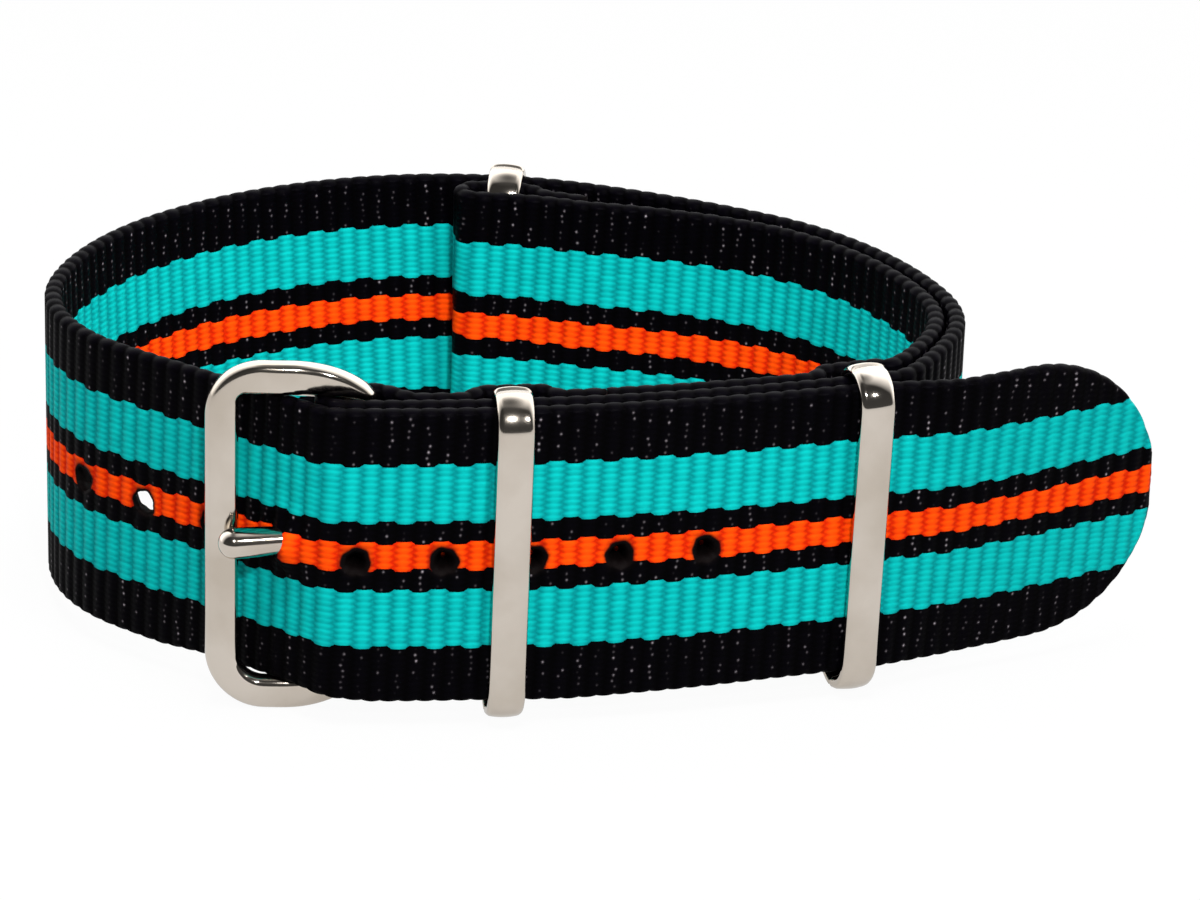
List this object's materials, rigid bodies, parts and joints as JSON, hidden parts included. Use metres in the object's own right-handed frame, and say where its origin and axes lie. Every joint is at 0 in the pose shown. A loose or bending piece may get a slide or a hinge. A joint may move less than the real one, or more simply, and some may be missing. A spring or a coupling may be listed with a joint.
{
  "type": "watch strap",
  "caption": "Closed striped textile watch strap: a long ribbed webbing strap and a short inner strap, with steel pin buckle and steel rectangular keepers.",
  "frame": {"origin": "centre of the bounding box seen from above, at the lowest edge of the buckle frame", "axes": "+X along the tail, from the buckle towards the tip; +Y from the buckle side to the back of the loop; +Z across the strap's width, up"},
  "size_m": [0.0816, 0.053, 0.0264],
  "materials": {
    "webbing": "ribbed woven nylon, black with turquoise bands and an orange centre band",
    "steel": "polished stainless steel"
  },
  "bodies": {
    "strap": {"long_strap": "webbing", "short_strap": "webbing"},
    "buckle": {"buckle_frame": "steel", "hinge_pin": "steel"},
    "tongue": {"buckle_tongue": "steel"},
    "front_keeper": {"keeper_front": "steel"},
    "middle_keeper": {"keeper_middle": "steel"},
    "end_keeper": {"keeper_end": "steel"}
  },
  "joints": [
    {"name": "buckle_tilt", "type": "hinge", "parent": "strap", "child": "buckle", "pos_m": [-0.01765, -0.02261, 0.0132], "axis": [0, 0, 1], "range_deg": [-2.5, 5]},
    {"name": "tongue_swing", "type": "hinge", "parent": "buckle", "child": "tongue", "pos_m": [-0.01765, -0.02261, 0.0132], "axis": [0, 0, 1], "range_deg": [0, 5]},
    {"name": "front_keeper_play", "type": "slide", "parent": "strap", "child": "front_keeper", "axis": [0.987, 0.1609, 0], "range_m": [-0.0003, 0.0003]},
    {"name": "middle_keeper_play", "type": "slide", "parent": "strap", "child": "middle_keeper", "axis": [0.9337, 0.3582, 0], "range_m": [-0.0003, 0.0003]},
    {"name": "end_keeper_play", "type": "slide", "parent": "strap", "child": "end_keeper", "axis": [-0.997, 0.0777, 0], "range_m": [-0.0003, 0.0003]}
  ]
}
